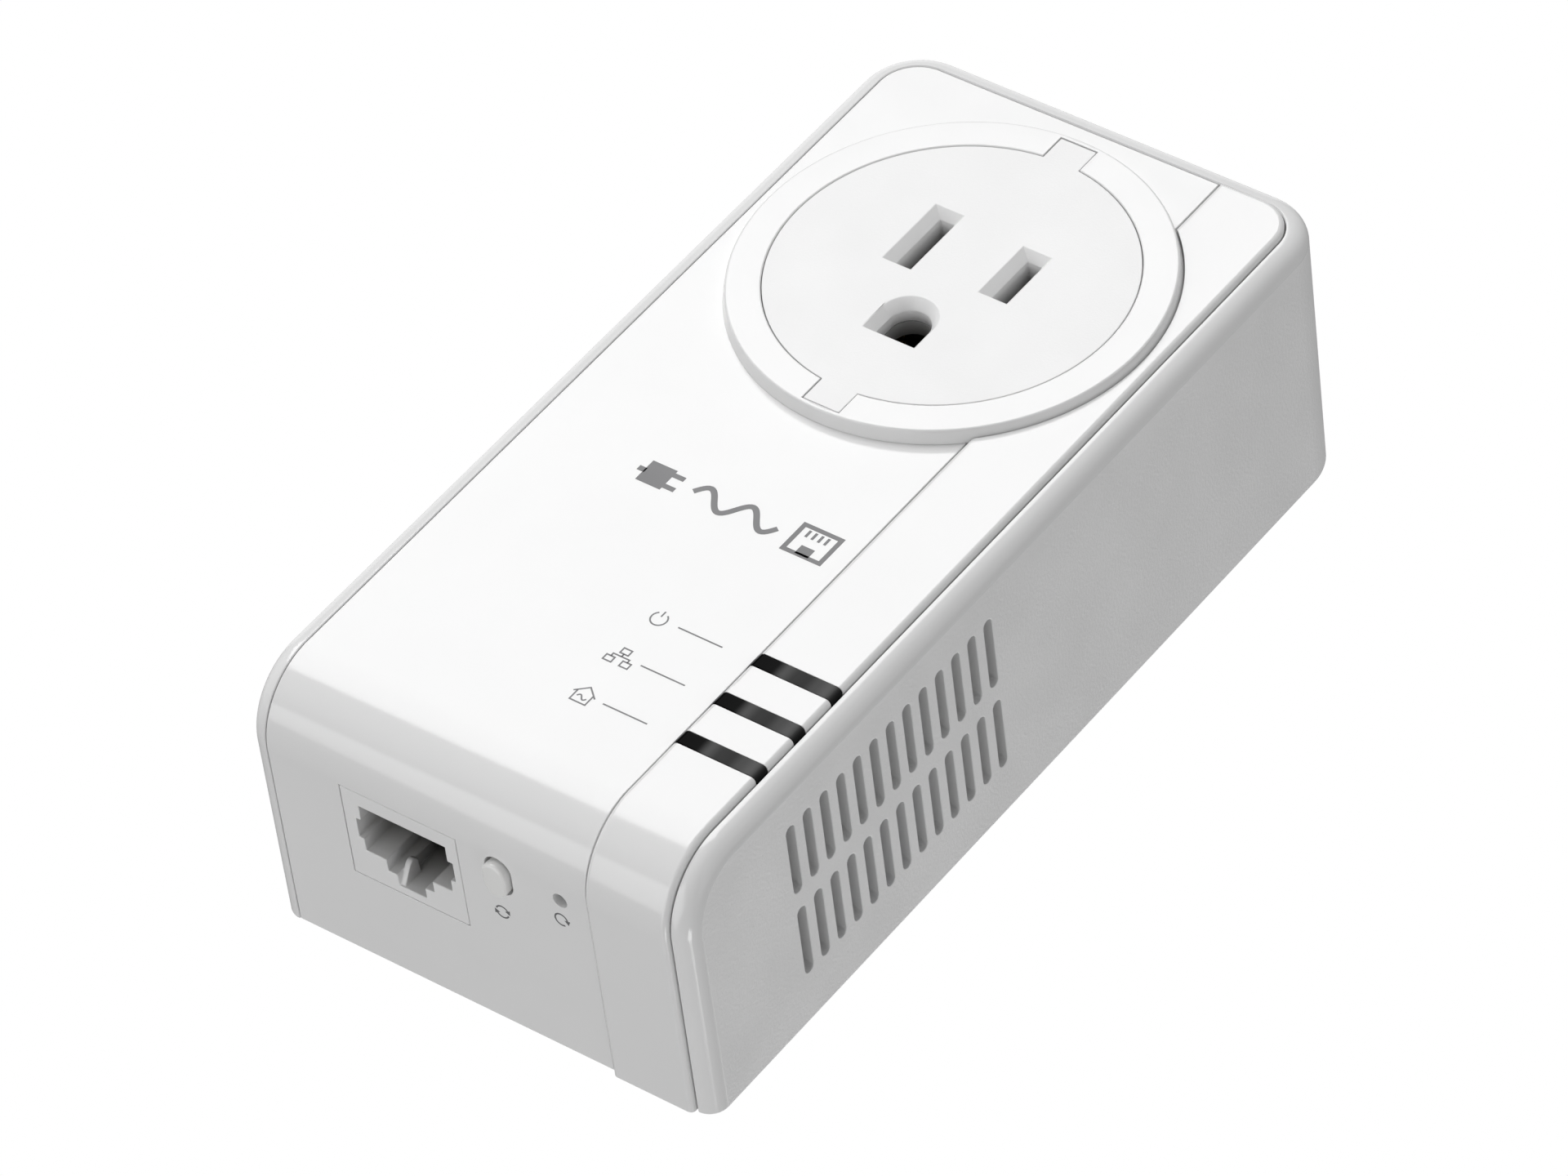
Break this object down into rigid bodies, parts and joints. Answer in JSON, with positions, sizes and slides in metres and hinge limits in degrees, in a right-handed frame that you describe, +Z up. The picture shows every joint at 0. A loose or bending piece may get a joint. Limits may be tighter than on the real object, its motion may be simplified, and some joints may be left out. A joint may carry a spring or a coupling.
{
  "type": "powerline adapter",
  "caption": "Plug-in powerline network adapter with a pass-through grounded outlet, Ethernet jack, sync button and light windows.",
  "frame": {"origin": "middle of the plug on the wall face, between the blades and the ground pin", "axes": "+X right seen from the front, +Y into the wall, +Z up towards the outlet end"},
  "size_m": [0.0604, 0.0583, 0.1236],
  "materials": {
    "housing_white": "fine grained white ABS, glossy on the rounded rim",
    "panel_white": "smooth white ABS with a soft gloss",
    "outlet_white": "fine spark-textured white polycarbonate",
    "button_white": "smooth white ABS",
    "window_black": "glossy smoked acrylic, black when unlit",
    "jack_plastic": "pale grey moulded nylon",
    "dark_plastic": "black moulded plastic",
    "contact_brass": "stamped brass",
    "blade_metal": "nickel plated brass",
    "screw_steel": "zinc plated steel",
    "heat_sink_metal": "extruded aluminium",
    "board_green": "solder masked glass epoxy",
    "guide_clear": "clear polycarbonate",
    "led_body": "phosphor filled LED body",
    "coil_amber": "polyester tape and dipped film capacitor",
    "coil_green": "powder coated ferrite",
    "capacitor_blue": "blue capacitor coating",
    "label_silver": "blank silver grey rating label",
    "wire_white": "PVC insulation",
    "wire_green": "green PVC insulation"
  },
  "bodies": {
    "housing": {"rear_housing": "housing_white", "front_panel": "panel_white", "light_strip": "panel_white", "light_window_power": "window_black", "light_window_ethernet": "window_black", "light_window_powerline": "window_black", "outlet_ring": "panel_white", "outlet_face": "outlet_white", "outlet_block": "dark_plastic", "contact_neutral": "contact_brass", "contact_line": "contact_brass", "contact_ground": "contact_brass", "plug_base": "dark_plastic", "blade_neutral": "blade_metal", "blade_line": "blade_metal", "ground_pin": "blade_metal", "case_screw_1": "screw_steel", "case_screw_2": "screw_steel", "case_screw_3": "screw_steel", "case_screw_4": "screw_steel", "logic_board": "board_green", "power_board": "board_green", "board_header": "dark_plastic", "ethernet_jack": "jack_plastic", "jack_contacts": "contact_brass", "lan_transformer": "dark_plastic", "sync_switch_body": "dark_plastic", "reset_switch_body": "dark_plastic", "light_guide": "guide_clear", "led_power": "led_body", "led_ethernet": "led_body", "led_powerline": "led_body", "main_chip": "dark_plastic", "heat_sink": "heat_sink_metal", "flash_chip": "dark_plastic", "crystal": "blade_metal", "coupling_transformer": "coil_amber", "coupling_capacitor": "coil_amber", "power_transformer": "coil_amber", "bulk_capacitor": "dark_plastic", "output_capacitor": "capacitor_blue", "bridge_rectifier": "dark_plastic", "line_choke": "coil_green", "x_capacitor": "coil_amber", "varistor": "capacitor_blue", "mains_fuse": "guide_clear", "rating_label": "label_silver", "wire_neutral": "wire_white", "wire_line": "dark_plastic", "wire_ground": "wire_green"},
    "sync_button": {"sync_button": "button_white"},
    "sync_plunger": {"sync_switch_plunger": "dark_plastic"},
    "reset_plunger": {"reset_switch_plunger": "dark_plastic"}
  },
  "joints": [
    {"name": "sync_button_press", "type": "slide", "parent": "housing", "child": "sync_button", "axis": [0, 0, 1], "range_m": [0, 0.0005], "stiffness_N_per_m": 4000},
    {"name": "sync_plunger_press", "type": "slide", "parent": "housing", "child": "sync_plunger", "axis": [0, 0, 1], "range_m": [0, 0.0005], "stiffness_N_per_m": 1000},
    {"name": "reset_plunger_press", "type": "slide", "parent": "housing", "child": "reset_plunger", "axis": [0, 0, 1], "range_m": [0, 0.00025], "stiffness_N_per_m": 4000}
  ],
  "couplings": [
    {"joint": "sync_plunger_press", "follows": "sync_button_press", "ratio": 1}
  ]
}
